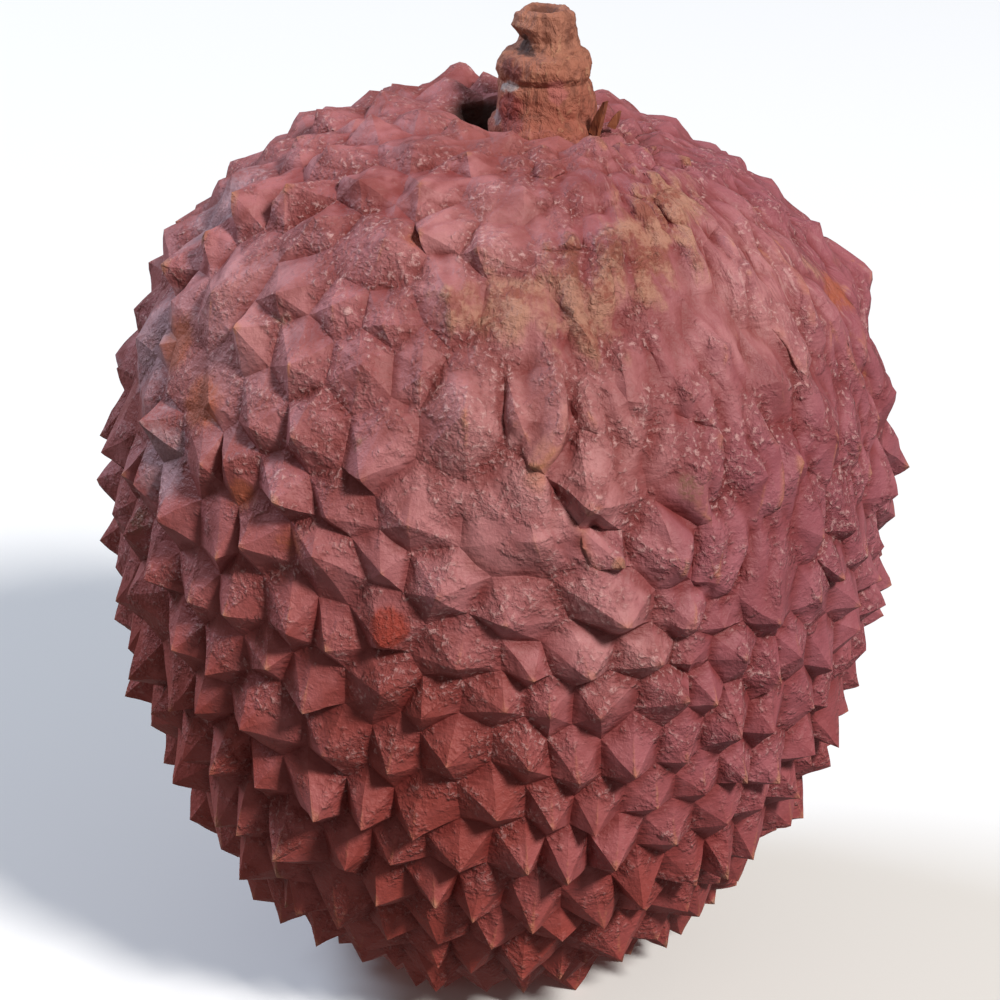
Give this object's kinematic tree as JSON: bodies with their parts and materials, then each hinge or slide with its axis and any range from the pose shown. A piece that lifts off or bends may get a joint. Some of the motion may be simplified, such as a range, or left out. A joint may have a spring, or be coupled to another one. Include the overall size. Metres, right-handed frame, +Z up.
{
  "type": "lychee",
  "caption": "Whole egg-shaped lychee with a rough, pointed-bump skin, a short stub of its stalk and two dry sepals beside the stalk, standing on its lower end.",
  "frame": {"origin": "on the surface that the fruit stands on, under the middle of the whole part's bounding box", "axes": "+Z up along the fruit's core towards its stalk, +X to the side that the stalk leans to, -Y the side with the tan patch"},
  "size_m": [0.034, 0.0338, 0.0411],
  "materials": {
    "skin": "thin dry leathery rind, dull brownish red to pink, with tan scurf and a slight sheen",
    "bark": "rough dry bark, tan to reddish brown, matt",
    "dry_sepal": "dry papery flake, orange brown, matt"
  },
  "bodies": {
    "root": {"fruit": "skin", "stalk": "bark", "sepal_long": "dry_sepal", "sepal_short": "dry_sepal"}
  },
  "joints": []
}
